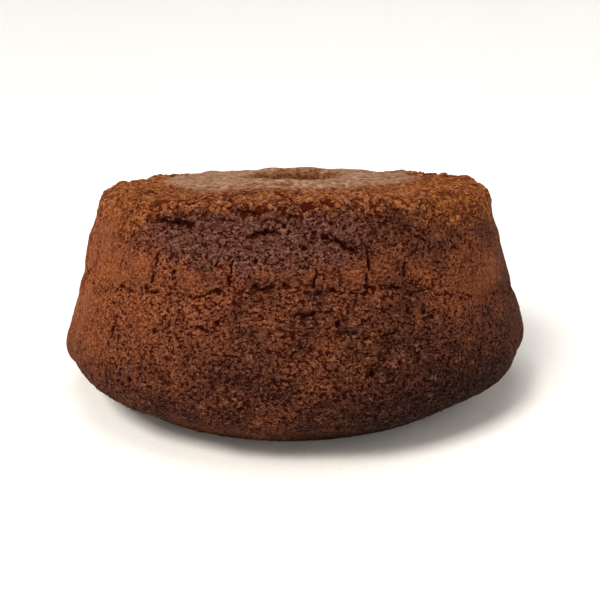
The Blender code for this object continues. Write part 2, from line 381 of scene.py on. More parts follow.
# What the finish reads at each point: kinds of crust, painted shade and light, openness, grain value, and the nearest
# crack
VALUE_NAMES = ("browned", "torn", "skin", "tube", "painted_shade", "dry_and_lit", "calm", "open", "tone", "across", "near")

# The flat map of a band: strips of its outside, how much of the map they fill, and margins in shares of a strip
MAP_STRIPS = 5
MAP_OUTSIDE = 0.93
MAP_MARGIN = 0.012
MAP_SIDE_MARGIN = 0.04
MAP_ROUNDING = 1e-6

# The crumb's finish: colours of each kind of crust, of the painted highlights on its tips and of the painted shade in
# its pores, and its roughness
WALL_DARK = "4e2818"
WALL_LIGHT = "7d4322"
# The colour of the painted shade at the foot and in the shaded places
PAINTED_SHADE_CRUST = "2a130b"
# The colour of the dried-out crust, which also carries painted light
DRY_LIT_CRUST = "864722"
SHOULDER_DARK = "713d18"
SHOULDER_LIGHT = "a35d20"
SHOULDER_ROSY = "94542c"
TORN_CRUMB = "633a29"
CROWN_DARK = "7a5539"
CROWN_LIGHT = "a47d5c"
TUBE_CRUST = "764626"
# Painted highlights: the pale colour of the raised tips and of small glints, and the values and shares that mix it in
TIP_HIGHLIGHT = "ad8270"
TIP_HIGHLIGHT_TONES = (0.1, 1.0)
TIP_HIGHLIGHT_SHARE = 0.28
GLINT_LENGTH = 0.50 * MM
GLINT_VALUES = (0.56, 0.70)
GLINT_SHARE = 0.32
# Painted shade: the deeper red brown that pits, crevices and cracks are multiplied by, and the grain values over which
# it sets in
PIT_SHADE_TINT = "824a2a"
PIT_SHADE_TONES = (0.05, -0.80)
BEND_LENGTH = 1.4 * MM
BEND_DEPTH = 0.9 * MM
FLAT_CRUMB = (1.0, 1.0, 1.35)
CREVICE_CELL = 1.6 * MM
CREVICE_REACH = 0.32
CREVICE_SOFTNESS = 0.10
CREVICE_BREAK_LENGTH = 1.6 * MM
CREVICE_BREAKS = (0.44, 0.70)
CAVITY_LENGTH = 1.1 * MM
CAVITY_VALUES = (0.40, 0.30)
OPEN_AT_FULL = 0.60
GRAIN_VALUES = (0.34, 0.66)
GRAIN_CALM = 0.40
GRAIN_SHADED = (0.38, 0.19, 0.09)
GRAIN_LIT = (1.51, 1.88, 2.60)
CRUMB_IOR = 1.45
CRUMB_SPECULAR = 0.05
CRUMB_ROUGHNESS = 0.80
PATCH_LENGTH = 11.0 * MM
PATCH_VALUES = (0.34, 0.66)
COLOUR_GRAIN = 0.9 * MM
CALM_GRAIN = 2.0 * MM
CROWN_MOTTLE = 4.5 * MM
MOTTLE_VALUES = (0.36, 0.64)
FINE_GRAIN = 0.9 * MM
FINE_DEPTH = 0.5 * MM
CAVITY_DEPTH = 0.40 * MM

# Inputs of a Mix node, by number: a pair for values, a pair for vectors and a pair for colours
VALUE_A, VALUE_B, VECTOR_A, VECTOR_B, COLOUR_A, COLOUR_B = range(2, 8)

# The studio's paper, whose fibres are finer than this and are drawn as coarse as they need to be to show
PAPER_DARK = "e9e7e3"
PAPER_LIGHT = "f4f3f0"
PAPER_FIBRE = 1.5 * MM
PAPER_ROUGHNESS = 0.85

# The sweep: a flat disc and its raised rim
SWEEP_FLAT_RADIUS = 1.3
SWEEP_FLAT_RINGS = 12
SWEEP_BEND = 1.8
SWEEP_BEND_RINGS = 24
SWEEP_COLUMNS = 128
FLOOR_GAP = 0.0002

# Three softboxes (name, place, aim, size, power, colour), a ring of lights for the sweep, and a pale surround
SOFTBOXES = (
    ("key_softbox", (-0.75, -0.60, 1.25), (0.0, 0.0, 0.05), 0.55, 24.0, "fffaf3"),
    ("side_softbox", (0.95, -0.55, 0.95), (0.0, 0.0, 0.05), 0.8, 3.5, "fff3e8"),
    ("overhead_softbox", (0.0, 0.2, 1.9), (0.0, 0.0, 0.05), 1.2, 14.0, "ffffff"),
)
SWEEP_LIGHTS = 6
SWEEP_LIGHT_PLACE = (0.75, 1.35)
SWEEP_LIGHT_AIM = (2.3, 0.55)
SWEEP_LIGHT_SIZE = 0.7
SWEEP_LIGHT_POWER = 16.0
SWEEP_LIGHT_COLOUR = "ffffff"
SURROUND_COLOUR = "f6f5f2"
SURROUND_STRENGTH = 0.12

# The camera, in the cake's own frame
SENSOR_WIDTH = 36.0
LENS = 33.0
CLIP_START = 0.01
EYE = (0.0, -0.2715, 0.1113)
EYE_TURN = -0.009
EYE_DOWN = 0.2978
EYE_ROLL = -0.0143


def smooth_step(low, high, value):
    """0 below low, 1 above high, and the smooth cubic 3t^2 - 2t^3 between them."""
    t = np.clip((value - low) / (high - low), 0.0, 1.0)
    return t * t * (3.0 - 2.0 * t)


def soft_spot(distance):
    """A round spot: 1 in the middle, falling as (1 - d^2)^2 to 0 at distance 1."""
    return np.clip(1.0 - distance * distance, 0.0, None) ** 2


def angle_from(azimuth, degrees):
    """The signed angle from an azimuth given in degrees, between -pi and pi."""
    return (azimuth - math.radians(degrees) + np.pi) % (2.0 * np.pi) - np.pi


def outline_corners():
    """The corners of half the cake's section, from the hole's foot outwards and round to its lip."""
    return (
        (HOLE_FOOT_RADIUS, 0.0, HOLE_FOOT_ROUNDING),
        (FOOT_RADIUS, 0.0, FOOT_ROUNDING),
        (BELLY_RADIUS, BELLY_HEIGHT, BELLY_ROUNDING),
        (SHOULDER_RADIUS, SHOULDER_HEIGHT, SHOULDER_ROUNDING),
        (CREASE_RADIUS, CREASE_HEIGHT, CREASE_ROUNDING),
        (LIP_RADIUS, LIP_HEIGHT, LIP_ROUNDING),
    )


def rounded_outline(corners, step):
    """A closed polygon whose corners are arcs, sampled evenly.

    Each arc touches both sides of its corner at rounding / tan(half angle) from it, and straight sides join
    the arcs.
    """
    points = []
    places = np.array([corner[:2] for corner in corners])
    for index, (_, _, rounding) in enumerate(corners):
        corner = places[index]
        back = places[index - 1] - corner
        ahead = places[(index + 1) % len(places)] - corner
        back /= np.linalg.norm(back)
        ahead /= np.linalg.norm(ahead)
        half = math.acos(float(back @ ahead)) / 2.0
        bisector = (back + ahead) / np.linalg.norm(back + ahead)
        centre = corner + bisector * rounding / math.sin(half)
        start = corner + back * rounding / math.tan(half) - centre
        end = corner + ahead * rounding / math.tan(half) - centre
        turn = math.pi - 2.0 * half
        share = np.linspace(0.0, 1.0, max(3, int(rounding * turn / step) + 2))[:, None]
        arc = (np.sin((1.0 - share) * turn) * start + np.sin(share * turn) * end) / math.sin(turn)
        points.append(centre + arc)
    points = np.concatenate(points)
    closed = np.vstack([points, points[:1]])
    run = np.concatenate([[0.0], np.cumsum(np.linalg.norm(np.diff(closed, axis=0), axis=1))])
    even = np.arange(0.0, run[-1], step)
    return np.stack([np.interp(even, run, closed[:, 0]), np.interp(even, run, closed[:, 1])], axis=1)


def turn_places(places, azimuth):
    """Places given by radius and height, turned about the axis to their azimuths."""
    return np.column_stack([places[:, 0] * np.cos(azimuth), places[:, 0] * np.sin(azimuth), places[:, 1]])


def wave_field(points, length, seed):
    """A smooth field in space: the sum of plane cosine waves of about one length, in random directions."""
    draw = np.random.default_rng(seed)
    directions = draw.normal(size=(WAVE_COUNT, 3))
    directions /= np.linalg.norm(directions, axis=1)[:, None]
    turns = 2.0 * np.pi / (length * draw.uniform(*WAVE_SPREAD, WAVE_COUNT))
    phases = draw.uniform(0.0, 2.0 * np.pi, WAVE_COUNT)
    return np.cos(points @ (directions * turns[:, None]).T + phases).sum(axis=1) * math.sqrt(2.0 / WAVE_COUNT)


def soft_ellipses(azimuth, height, places, edge):
    """The strongest of some soft ellipses, given by azimuth, height, half angle, half height and strength."""
    strength = np.zeros_like(azimuth)
    for degrees, middle, half_angle, half_height, most in places:
        across = angle_from(azimuth, degrees) / math.radians(half_angle)
        up = (height - middle) / half_height
        strength = np.maximum(strength, most * smooth_step(*edge, np.hypot(across, up)))
    return strength


def torn_depth(azimuth, height):
    """Depth of the places without skin."""
    return soft_ellipses(azimuth, height, TORN_PLACES, TORN_EDGE)


def spots(points, places):
    """Sum of round spots given by azimuth, radius, height, half size and depth."""
    total = np.zeros(len(points))
    for degrees, radius, height, half_size, depth in places:
        turn = math.radians(degrees)
        middle = np.array([radius * math.cos(turn), radius * math.sin(turn), height])
        total += depth * soft_spot(np.linalg.norm(points - middle, axis=1) / half_size)
    return total


def ledge_share(azimuth):
    """How deep the ledge is: all of its depth at the front and the back, and least at the two sides."""
    return LEDGE_SIDE_SHARE + (1.0 - LEDGE_SIDE_SHARE) * np.abs(np.sin(azimuth))


def ledge_line(azimuth):
    """Height of the crack under the skin: scallops of |sin| on a line that falls by cos^2 to the two sides."""
    scallop = np.abs(np.sin(azimuth * LEDGE_SCALLOPS / 2.0)) - 0.5
    side = np.cos(azimuth)
    return LEDGE_HEIGHT + LEDGE_SCALLOP * scallop - side * side * (LEDGE_DROP + LEDGE_DROP_RIGHT * side)


def crease_distance(points, azimuth):
    """How far a place on the top lies outside the crown's crease, a wandering circle set off to the back."""
    distance = np.hypot(points[:, 0] - CROWN_CENTRE[0], points[:, 1] - CROWN_CENTRE[1])
    return distance - CROWN_RADIUS - CROWN_WANDER * np.sin(CROWN_LOBES * azimuth)


def form_relief(points, azimuth):
    """How far the cake's form stands out from the turned outline, as a sum of the parts named above.

    It fades to nothing at the foot and in the hole, so that the cake rests flat and the tube's wall stays plain.
    """
    radius = np.hypot(points[:, 0], points[:, 1])
    height = points[:, 2]
    torn = torn_depth(azimuth, height)
    high_up = smooth_step(BELLY_HEIGHT, SHOULDER_HEIGHT, height)
    outside = smooth_step(CREASE_RADIUS, SHOULDER_RADIUS, radius)
    crumbly = np.clip(smooth_step(0.0, TORN_CRUMBLY_FROM, torn) + high_up * outside, 0.0, 1.0)
    out = SWELL_DEPTH * wave_field(points, SWELL_LENGTH, SWELL_SEED)
    crags = CRAG_DEPTH * wave_field(points, CRAG_LENGTH, CRAG_SEED)
    out += crags * (SKIN_CRAG_SHARE + (1.0 - SKIN_CRAG_SHARE) * crumbly)
    top_starts = SHOULDER_HEIGHT - SHOULDER_ROUNDING
    on_top = smooth_step(top_starts, top_starts + SHOULDER_ROUNDING / 2.0, height)
    above_ledge = height - ledge_line(azimuth)
    ledge = LEDGE_DEPTH * ledge_share(azimuth) * soft_spot(above_ledge / LEDGE_HALF_WIDTH)
    crease = CREASE_DEPTH * soft_spot(crease_distance(points, azimuth) / CREASE_HALF_WIDTH) * on_top
    out -= torn + ledge + crease
    out += spots(points, BULGES) - spots(points, DENTS)
    above_foot = smooth_step(0.0, FOOT_ROUNDING * 2.0, height)
    out_of_hole = smooth_step(HOLE_FOOT_RADIUS, LIP_RADIUS + LIP_ROUNDING, radius)
    return out * above_foot * out_of_hole


def lattice(seed):
    """A shuffled table of the numbers below LATTICE, twice over, that numbers the corners of a cubic lattice."""
    order = np.random.default_rng(seed).permutation(LATTICE)
    return np.concatenate([order, order]).astype(np.int32)


def gradient_noise(places, seed):
    """Smooth noise of unit length: a random slope at each lattice corner, blended by 6t^5 - 15t^4 + 10t^3."""
    table = lattice(seed)
    wrap = LATTICE - 1
    slopes = np.random.default_rng(seed + 1).normal(size=(LATTICE, 3)).astype(np.float32)
    slopes /= np.linalg.norm(slopes, axis=1)[:, None]
    whole = np.floor(places).astype(np.int32)
    part = (places - whole).astype(np.float32)
    whole &= wrap
    blend = part * part * part * (part * (part * 6.0 - 15.0) + 10.0)
    total = np.zeros(len(places), np.float32)
    for dx in (0, 1):
        wx = blend[:, 0] if dx else 1.0 - blend[:, 0]
        nx = table[(whole[:, 0] + dx) & wrap]
        for dy in (0, 1):
            wy = wx * (blend[:, 1] if dy else 1.0 - blend[:, 1])
            ny = table[nx + ((whole[:, 1] + dy) & wrap)]
            for dz in (0, 1):
                weight = wy * (blend[:, 2] if dz else 1.0 - blend[:, 2])
                slope = slopes[table[ny + ((whole[:, 2] + dz) & wrap)]]
                reach = (
                    slope[:, 0] * (part[:, 0] - dx)
                    + slope[:, 1] * (part[:, 1] - dy)
                    + slope[:, 2] * (part[:, 2] - dz)
                )
                total += weight * reach
    return total * NOISE_GAIN


def scattered_domes(places, seed, share, sizes):
    """Domes scattered in space, one at a random place in some cells of a unit lattice.

    The value is (s^2 - d^2) / S^2 of the dome that stands highest, where s is its own size, S the largest size
    and d the distance from its middle; between the domes it is 0.
    """
    table = lattice(seed)
    wrap = LATTICE - 1
    draw = np.random.default_rng(seed + 1)
    jitter = draw.uniform(*DOME_JITTER, (LATTICE, 3)).astype(np.float32)
    reach = draw.uniform(*sizes, LATTICE).astype(np.float32) ** 2
    reach[draw.uniform(size=LATTICE) > share] = 0.0
    whole = np.floor(places).astype(np.int32)
    part = (places - whole).astype(np.float32)
    highest = np.zeros(len(places), np.float32)
    for dx in (-1, 0, 1):
        nx = table[(whole[:, 0] + dx) & wrap]
        for dy in (-1, 0, 1):
            ny = table[nx + ((whole[:, 1] + dy) & wrap)]
            for dz in (-1, 0, 1):
                cell = table[ny + ((whole[:, 2] + dz) & wrap)]
                spot = jitter[cell]
                away = (
                    (part[:, 0] - dx - spot[:, 0]) ** 2
                    + (part[:, 1] - dy - spot[:, 1]) ** 2
                    + (part[:, 2] - dz - spot[:, 2]) ** 2
                )
                highest = np.maximum(highest, reach[cell] - away)
    return highest / sizes[1] ** 2


def outline_rows():
    """The rows that the surface is laid out on: place and outward normal on the outline, and columns of each.

    Walking the outline, a new row starts whenever the spacing wanted there has been covered.
    """
    outline = rounded_outline(outline_corners(), OUTLINE_STEP)
    ahead = np.roll(outline, -1, axis=0) - np.roll(outline, 1, axis=0)
    out = np.stack([ahead[:, 1], -ahead[:, 0]], axis=1) / np.linalg.norm(ahead, axis=1)[:, None]
    radius, height = outline.T
    wanted = np.full(len(outline), FINE_ROW)
    wanted[(radius < LIP_RADIUS) & (height < LIP_HEIGHT - LIP_ROUNDING)] = TUBE_ROW
    wanted[(height == 0.0) & (radius < FOOT_RADIUS - FOOT_ROUNDING)] = BASE_ROW
    walked = np.cumsum(OUTLINE_STEP / wanted)
    count = int(walked[-1])
    chosen = np.searchsorted(walked, np.arange(count) * walked[-1] / count)
    columns = np.full(count, FULL_COLUMNS)
    columns[radius[chosen] < HALF_COLUMNS_WITHIN] = FULL_COLUMNS // 2
    columns[radius[chosen] < QUARTER_COLUMNS_WITHIN] = FULL_COLUMNS // 4
    return outline[chosen], out[chosen], columns


def over_torn(azimuth):
    """1 over the middle of each torn place, whatever the height, and 0 away from them."""
    share = np.zeros_like(azimuth)
    for degrees, _, half_angle, _, _ in TORN_PLACES:
        across = np.abs(angle_from(azimuth, degrees)) / math.radians(half_angle)
        share = np.maximum(share, smooth_step(*SHOULDER_EDGE_REACH, across))
    return share


def crack_places(run, rise, tilt, length, wander):
    """A crack on the unrolled wall: distances across its wandering line, and 1 in its middle to 0 past its ends."""
    turn = math.radians(tilt)
    along = run * math.cos(turn) + rise * math.sin(turn)
    across = -run * math.sin(turn) + rise * math.cos(turn) + wander
    return across, np.clip(1.0 - (2.0 * along / length) ** 2, 0.0, None) ** 0.5


def stray_cracks():
    """Cracks at random places round the wall, leaving the front to those that were seen."""
    draw = np.random.default_rng(STRAY_SEED)
    found = []
    for _ in range(STRAY_CRACKS):
        degrees = draw.uniform(STRAY_FRONT[1], STRAY_FRONT[0] + 360.0)
        tilts = STRAY_LEVEL_TILT if draw.uniform() < STRAY_LEVEL_SHARE else STRAY_UPRIGHT_TILT
        tilt = draw.normal(*tilts)
        height, length, width, depth = (
            draw.uniform(*limits) for limits in (STRAY_HEIGHTS, STRAY_LENGTHS, STRAY_WIDTHS, STRAY_DEPTHS)
        )
        found.append((degrees, height, length, tilt, width, depth))
    return tuple(found)


def crack_relief(points, azimuth):
    """Depth of the narrow cracks and pits, how far each place lies across the nearest crack, and how much it is one.

    The ledge's crack breaks off and starts again, and the single ones fade at their ends. The distance across is
    signed, so that its zero stays exact between the points, and the finish paints the crack's shade there. The fine
    crack along the crown's crease has no depth of its own and is only painted shade, and the pits are round spots.
    """
    height = points[:, 2]
    radius = np.hypot(points[:, 0], points[:, 1])
    on_wall = (radius > SHOULDER_RADIUS - SHOULDER_ROUNDING) & (height > BELLY_HEIGHT / 2.0)
    wander = sum(reach * gradient_noise(points / length, seed) for seed, length, reach in CRACK_WANDERS)
    fade = smooth_step(*CRACK_FADE, gradient_noise(points / CRACK_FADE_LENGTH, CRACK_FADE_SEED))
    breaks = gradient_noise(points / LEDGE_CRACK_BREAK_LENGTH, LEDGE_CRACK_BREAK_SEED)
    line = ledge_line(azimuth) + wander
    line = line + LEDGE_WANDER * gradient_noise(points / LEDGE_WANDER_LENGTH, LEDGE_WANDER_SEED)
    across = height - line
    strength = smooth_step(*LEDGE_CRACK_BREAKS, breaks) * on_wall * (np.abs(across) < CRACK_REACH)
    depth = LEDGE_CRACK_DEPTH * strength * soft_spot(across / LEDGE_CRACK_WIDTH)
    for degrees, middle, length, tilt, width, deep in CRACKS + stray_cracks():
        turn = angle_from(azimuth, degrees)
        reach = length / 2.0 + CRACK_REACH + CRACK_WANDER_MOST
        beside = (np.abs(turn) < reach / SHOULDER_RADIUS) & (np.abs(height - middle) < reach)
        near = np.flatnonzero(on_wall & beside)
        here, ends = crack_places(turn[near] * radius[near], height[near] - middle, tilt, length, wander[near])
        depth[near] = np.maximum(depth[near], deep * ends * soft_spot(here / width))
        closer = (ends > 0.0) & (np.abs(here) < CRACK_REACH)
        closer &= (np.abs(here) < np.abs(across[near])) | (strength[near] < ends)
        across[near[closer]] = here[closer]
        strength[near[closer]] = ends[closer]
    crease = CREASE_LINE_SHARE * (crease_distance(points, azimuth) + CREASE_LINE_INSET)
    crease = crease + CREASE_LINE_WANDER_SHARE * wander
    on_crown = (height > SHOULDER_HEIGHT - SHOULDER_ROUNDING / 2.0) & (np.abs(crease) < CRACK_REACH)
    aside = angle_from(azimuth[on_crown], CREASE_LINE_MIDDLE) / math.radians(CREASE_LINE_HALF_ANGLE)
    across[on_crown] = crease[on_crown]
    strength[on_crown] = soft_spot(aside) * smooth_step(*CREASE_LINE_BREAKS, breaks[on_crown])
    depth *= fade
    strength *= fade
    for degrees, middle, half_size, deep in PITS:
        turn = angle_from(azimuth, degrees) * radius
        depth = np.maximum(depth, deep * soft_spot(np.hypot(turn, height - middle) / half_size) * on_wall)
    return depth, np.clip(across, -CRACK_REACH, CRACK_REACH), strength


def crust_zones(points, azimuth):
    """Where the crust is of which kind, each 0 to 1: browned, torn, crown's skin, tube's wall, painted shade, dried out
    with painted light, calm.

    Each zone is a smooth step of a height, a radius or a distance, to which noise is added for a ragged edge.
    """
    height = points[:, 2]
    radius = np.hypot(points[:, 0], points[:, 1])
    fringe = FRINGE_DEPTH * gradient_noise(points / FRINGE_LENGTH, FRINGE_SEED)
    edge = SHOULDER_EDGE + SHOULDER_EDGE_RISE * over_torn(azimuth)
    browned = smooth_step(edge - SHOULDER_FRINGE, edge + SHOULDER_FRINGE / 2.0, height + fringe)
    wander = SKIN_WANDER * gradient_noise(points / SKIN_WANDER_LENGTH, SKIN_WANDER_SEED)
    outside = crease_distance(points, azimuth) - SKIN_OUTSET + wander + fringe * SKIN_FRINGE_SHARE
    outside += SKIN_LEFT_INSET * smooth_step(*SKIN_LEFT_REACH, points[:, 0])
    skin = smooth_step(SKIN_FRINGE, -SKIN_FRINGE, outside) * smooth_step(*SKIN_HEIGHTS, height)
    patchy = height + PATCH_FRINGE_SHARE * fringe
    torn = soft_ellipses(azimuth, patchy, DARK_TORN_PLACES, DARK_TORN_EDGE)
    torn *= 1.0 + TORN_PATCHINESS * gradient_noise(points / FRINGE_LENGTH, TORN_PATCH_SEED)
    torn = np.clip(torn, 0.0, 1.0) * (1.0 - browned)
    in_tube = smooth_step(*TUBE_EDGE, radius + TUBE_FRINGE / FRINGE_DEPTH * fringe)
    # Painted shade: darker towards the foot, and in the places listed
    painted_shade = PAINTED_SHADE_FOOT_SHARE * smooth_step(*PAINTED_SHADE_HEIGHTS, patchy)
    painted_shade = np.maximum(painted_shade, soft_ellipses(azimuth, patchy, PAINTED_SHADE_PLACES, PATCH_EDGE))
    # Dried-out crust, which also carries painted light on the lit side
    dry_and_lit = soft_ellipses(azimuth, patchy, DRY_LIT_PLACES, PATCH_EDGE)
    side = smooth_step(*CALM_SINES, np.abs(np.sin(azimuth)) + fringe / FRINGE_DEPTH * CALM_RAGGED)
    calm = np.maximum(np.maximum(skin, side), browned * BROWNED_CALM)
    return browned, torn, skin, in_tube, painted_shade, dry_and_lit, calm


def crumb_openness(points, azimuth, zones):
    """How open the crumb is at each place, from the kinds of crust and a slow random wander."""
    browned, torn, skin, in_tube, _, dry_and_lit, calm = zones
    height = points[:, 2]
    low, high = BAND_HEIGHTS
    line = height - ledge_line(azimuth) + LEDGE_HEIGHT
    band = smooth_step(low - BAND_EDGE, low + BAND_EDGE, line)
    band = band * smooth_step(high + 2.0 * BAND_EDGE, high, line)
    foot = smooth_step(BELLY_HEIGHT, FOOT_ROUNDING, height)
    openness = OPEN_WALL + (OPEN_BAND - OPEN_WALL) * band
    openness += (OPEN_FOOT - openness) * foot
    openness += (OPEN_DRY_LIT - openness) * dry_and_lit
    openness += (OPEN_CALM - openness) * calm
    openness += (OPEN_SHOULDER - openness) * browned
    openness += (OPEN_TORN - openness) * torn
    openness += OPEN_WANDER * gradient_noise(points / OPEN_PATCH_LENGTH, OPEN_PATCH_SEED)
    openness += (OPEN_CROWN - openness) * skin
    openness += (OPEN_TUBE - openness) * in_tube
    openness += (OPEN_BASE - openness) * smooth_step(BASE_EDGE, 0.0, height)
    return np.maximum(openness, 0.0)


def crumb_relief(points, azimuth, zones, openness, crack):
    """How far the crumb's grain stands out, and its grain value: 1 on the tips, -1 in the deepest pits.

    Grains are domes that meet in sharp creases. Lumps are added to them, and bubbles and pores are cut into them,
    each times how open the crumb is. The browned shoulder has larger crumbs, which are domes too. Clumps, the
    furrows of the crown and the lobes of the tube's wall are smooth noise. Cracks are taken off last.
    """
    browned, _, skin, in_tube = zones[:4]
    warp = np.stack([gradient_noise(points / WARP_LENGTH, seed) for seed in WARP_SEEDS], axis=1)
    places = (points + WARP_DEPTH * warp) / np.array(FLATTENING)
    clump = gradient_noise(places / CLUMP_LENGTH, CLUMP_SEED)
    grains, bubbles, pores, lumps, crumbs = (
        height * scattered_domes(places / cell, seed, share, sizes)
        for seed, cell, share, sizes, height in (GRAINS, BUBBLES, PORES, LUMPS, SHOULDER_CRUMBS)
    )
    fine = (grains - GRAIN_MIDDLE + lumps) * openness
    large = SHOULDER_CRUMBS_ASIDE + (1.0 - SHOULDER_CRUMBS_ASIDE) * over_torn(azimuth)
    fine += (crumbs - SHOULDER_CRUMB_MIDDLE) * large * browned * (1.0 - skin)
    fine -= (bubbles + pores) * (PITTED_ALWAYS + (1.0 - PITTED_ALWAYS) * openness) * (1.0 - skin)
    radius = np.hypot(points[:, 0], points[:, 1])
    out = fine + CLUMP_DEPTH * clump * openness
    out = out - TOP_SUNK * smooth_step(*TOP_RADII, radius) * browned * (1.0 - skin)
    along = azimuth * CREASE_RADIUS
    furrow_place = np.stack([along / FURROW_LENGTHS[0], radius / FURROW_LENGTHS[1], along * 0.0], axis=1)
    out += FURROW_DEPTH * gradient_noise(furrow_place, FURROW_SEED) * skin
    turned = np.stack([np.cos(azimuth), np.sin(azimuth)], axis=1) * LIP_RADIUS / TUBE_LOBE_LENGTHS[0]
    lobe_place = np.column_stack([turned, points[:, 2] / TUBE_LOBE_LENGTHS[1]])
    out += TUBE_LOBE_DEPTH * gradient_noise(lobe_place, TUBE_LOBE_SEED) * in_tube
    out -= crack
    # The grain value, by which the finish paints highlights on the tips and shade in the pits and cracks
    tone = (fine * (1.0 - SHOULDER_TONE_SHARE * browned) - CRACK_TONE_SHARE * crack) / TONE_DEPTH
    above_foot = smooth_step(0.0, FOOT_ROUNDING / 2.0, points[:, 2])
    return out * (BASE_GRAIN_SHARE + (1.0 - BASE_GRAIN_SHARE) * above_foot), np.clip(tone, -1.0, 1.0)


def stitch(first, columns, following, following_columns):
    """Triangles between two rings of points; the second may have half or twice the columns of the first."""
    if columns == following_columns:
        column = np.arange(columns)
        beside = (column + 1) % columns
        a, b = first + column, first + beside
        c, d = following + beside, following + column
        pairs = ((a, b, c), (a, c, d))
    elif columns == 2 * following_columns:
        column = np.arange(following_columns)
        a, b, c = (first + (2 * column + step) % columns for step in range(3))
        d, e = following + column, following + (column + 1) % following_columns
        pairs = ((a, b, d), (b, e, d), (b, c, e))
    else:
        column = np.arange(columns)
        a, b = first + column, first + (column + 1) % columns
        c, d, e = (following + (2 * column + step) % following_columns for step in range(3))
        pairs = ((a, d, c), (a, b, d), (b, e, d))
    return np.stack([np.stack(pair, axis=1) for pair in pairs], axis=1).reshape(-1, 3)


def ring_triangles(columns):
    """Triangles of a closed stack of rings: each ring is stitched to the next, and the last to the first."""
    starts = np.concatenate([[0], np.cumsum(columns)])
    following = np.roll(np.arange(len(columns)), -1)
    return np.concatenate(
        [stitch(starts[row], columns[row], starts[other], columns[other]) for row, other in enumerate(following)]
    )


def point_normals(points, triangles):
    """Unit normals at the points: the sum of the area vectors of the triangles that meet there."""
    a, b, c = (points[triangles[:, corner]] for corner in range(3))
    area = np.cross(b - a, c - a)
    total = np.zeros_like(points)
    for corner in range(3):
        for axis in range(3):
            total[:, axis] += np.bincount(triangles[:, corner], area[:, axis], len(points))
    return total / np.maximum(np.linalg.norm(total, axis=1), NO_AREA)[:, None]


class Surface:
    """The whole outside of the cake: a closed stack of rings, its relief, and what its crust is at each point."""

    def __init__(self):
        self.outline, out, self.columns = outline_rows()
        self.starts = np.concatenate([[0], np.cumsum(self.columns)])
        row = np.repeat(np.arange(len(self.columns)), self.columns)
        self.azimuth = (np.arange(self.starts[-1]) - self.starts[row]) * 2.0 * np.pi / self.columns[row]
        self.turned = turn_places(self.outline[row], self.azimuth)
        self.out = turn_places(out[row], self.azimuth)
        formed = self.turned + self.out * form_relief(self.turned, self.azimuth)[:, None]
        self.zones = crust_zones(self.turned, self.azimuth)
        openness = crumb_openness(formed, self.azimuth, self.zones)
        crack, across, near = crack_relief(formed, self.azimuth)
        grain, tone = crumb_relief(formed, self.azimuth, self.zones, openness, crack)
        self.values = self.zones + (openness, tone, across, near)
        self.points = formed + self.out * grain[:, None]
        self.points[:, 2] = np.maximum(self.points[:, 2], 0.0)
        self.normals = point_normals(self.points, ring_triangles(self.columns))


def band_rows(surface):
    """Name, first row and last row of each band: they end by height up the wall, and by radius on the top."""
    radius, height = surface.outline.T
    first = 0
    for name, measure, end in BAND_ENDS:
        if measure == "height":
            reached = (height >= end) & (radius > CREASE_RADIUS)
        else:
            reached = (radius <= end) & (height > SHOULDER_HEIGHT / 2.0)
        last = int(np.flatnonzero(reached)[0]) if reached.any() else len(height)
        yield name, first, last
        first = last


def side_rings(surface, row):
    """The rings of one side of a band: from its edge straight in past the crumb, then on to the middle.

    Every ring has half the columns of the one before, down to FEWEST_COLUMNS.
    """
    start, columns = surface.starts[row], int(surface.columns[row])
    rings = []
    for index, share in enumerate((0.0,) + SIDE_SHARES):
        step = min(2 ** (index + 1), columns // FEWEST_COLUMNS)
        chosen = start + np.arange(0, columns, step)
        edge = surface.turned[chosen] - surface.out[chosen] * SIDE_DEPTH
        middle = turn_places(np.tile(SECTION_MIDDLE, (len(chosen), 1)), surface.azimuth[chosen])
        rings.append(edge + (middle - edge) * share)
    return rings


def spread_map(triangles, ring, columns, azimuth, outer_rows):
    """A flat map of a band: the outside in MAP_STRIPS strips one above the other, the sides in one thin strip.

    Across a strip goes the share of the turn, and up it the share of the rows. A triangle over the seam of the
    turn takes its corners from the same side, so it isn't stretched back over the map.
    """
    share = (azimuth / (2.0 * np.pi))[triangles]
    wraps = (share.max(axis=1) - share.min(axis=1)) > 0.5
    share = np.where(wraps[:, None] & (share < 0.5), share + 1.0, share)
    strip = np.floor(share.min(axis=1) * MAP_STRIPS + MAP_ROUNDING)
    outside = ring[triangles].max(axis=1) < outer_rows
    up = (ring[triangles] / (outer_rows - 1.0)).clip(0.0, 1.0)
    u = np.where(outside[:, None], share * MAP_STRIPS - strip[:, None], share)
    v = (strip[:, None] + MAP_MARGIN + up * (1.0 - 2.0 * MAP_MARGIN)) / MAP_STRIPS * MAP_OUTSIDE
    inner_rings = len(columns) - outer_rows
    inward = (ring[triangles] - outer_rows + 1.0) % len(columns) / (inner_rings + 1.0)
    v_side = MAP_OUTSIDE + (1.0 - MAP_OUTSIDE) * (MAP_SIDE_MARGIN + (1.0 - 2.0 * MAP_SIDE_MARGIN) * inward)
    return np.stack([u, np.where(outside[:, None], v, v_side)], axis=2)


def new_piece(name, points, triangles, material):
    """A mesh object at the origin, from arrays of points and triangles."""
    mesh = bpy.data.meshes.new(name)
    mesh.vertices.add(len(points))
    mesh.vertices.foreach_set("co", points.astype(np.float32).ravel())
    mesh.loops.add(triangles.size)
    mesh.loops.foreach_set("vertex_index", triangles.astype(np.int32).ravel())
    mesh.polygons.add(len(triangles))
    mesh.polygons.foreach_set("loop_start", np.arange(0, triangles.size, 3, dtype=np.int32))
    mesh.update(calc_edges=True)
    mesh.shade_smooth()
    mesh.materials.append(material)
    piece = bpy.data.objects.new(name, mesh)
    bpy.context.scene.collection.objects.link(piece)
    return piece


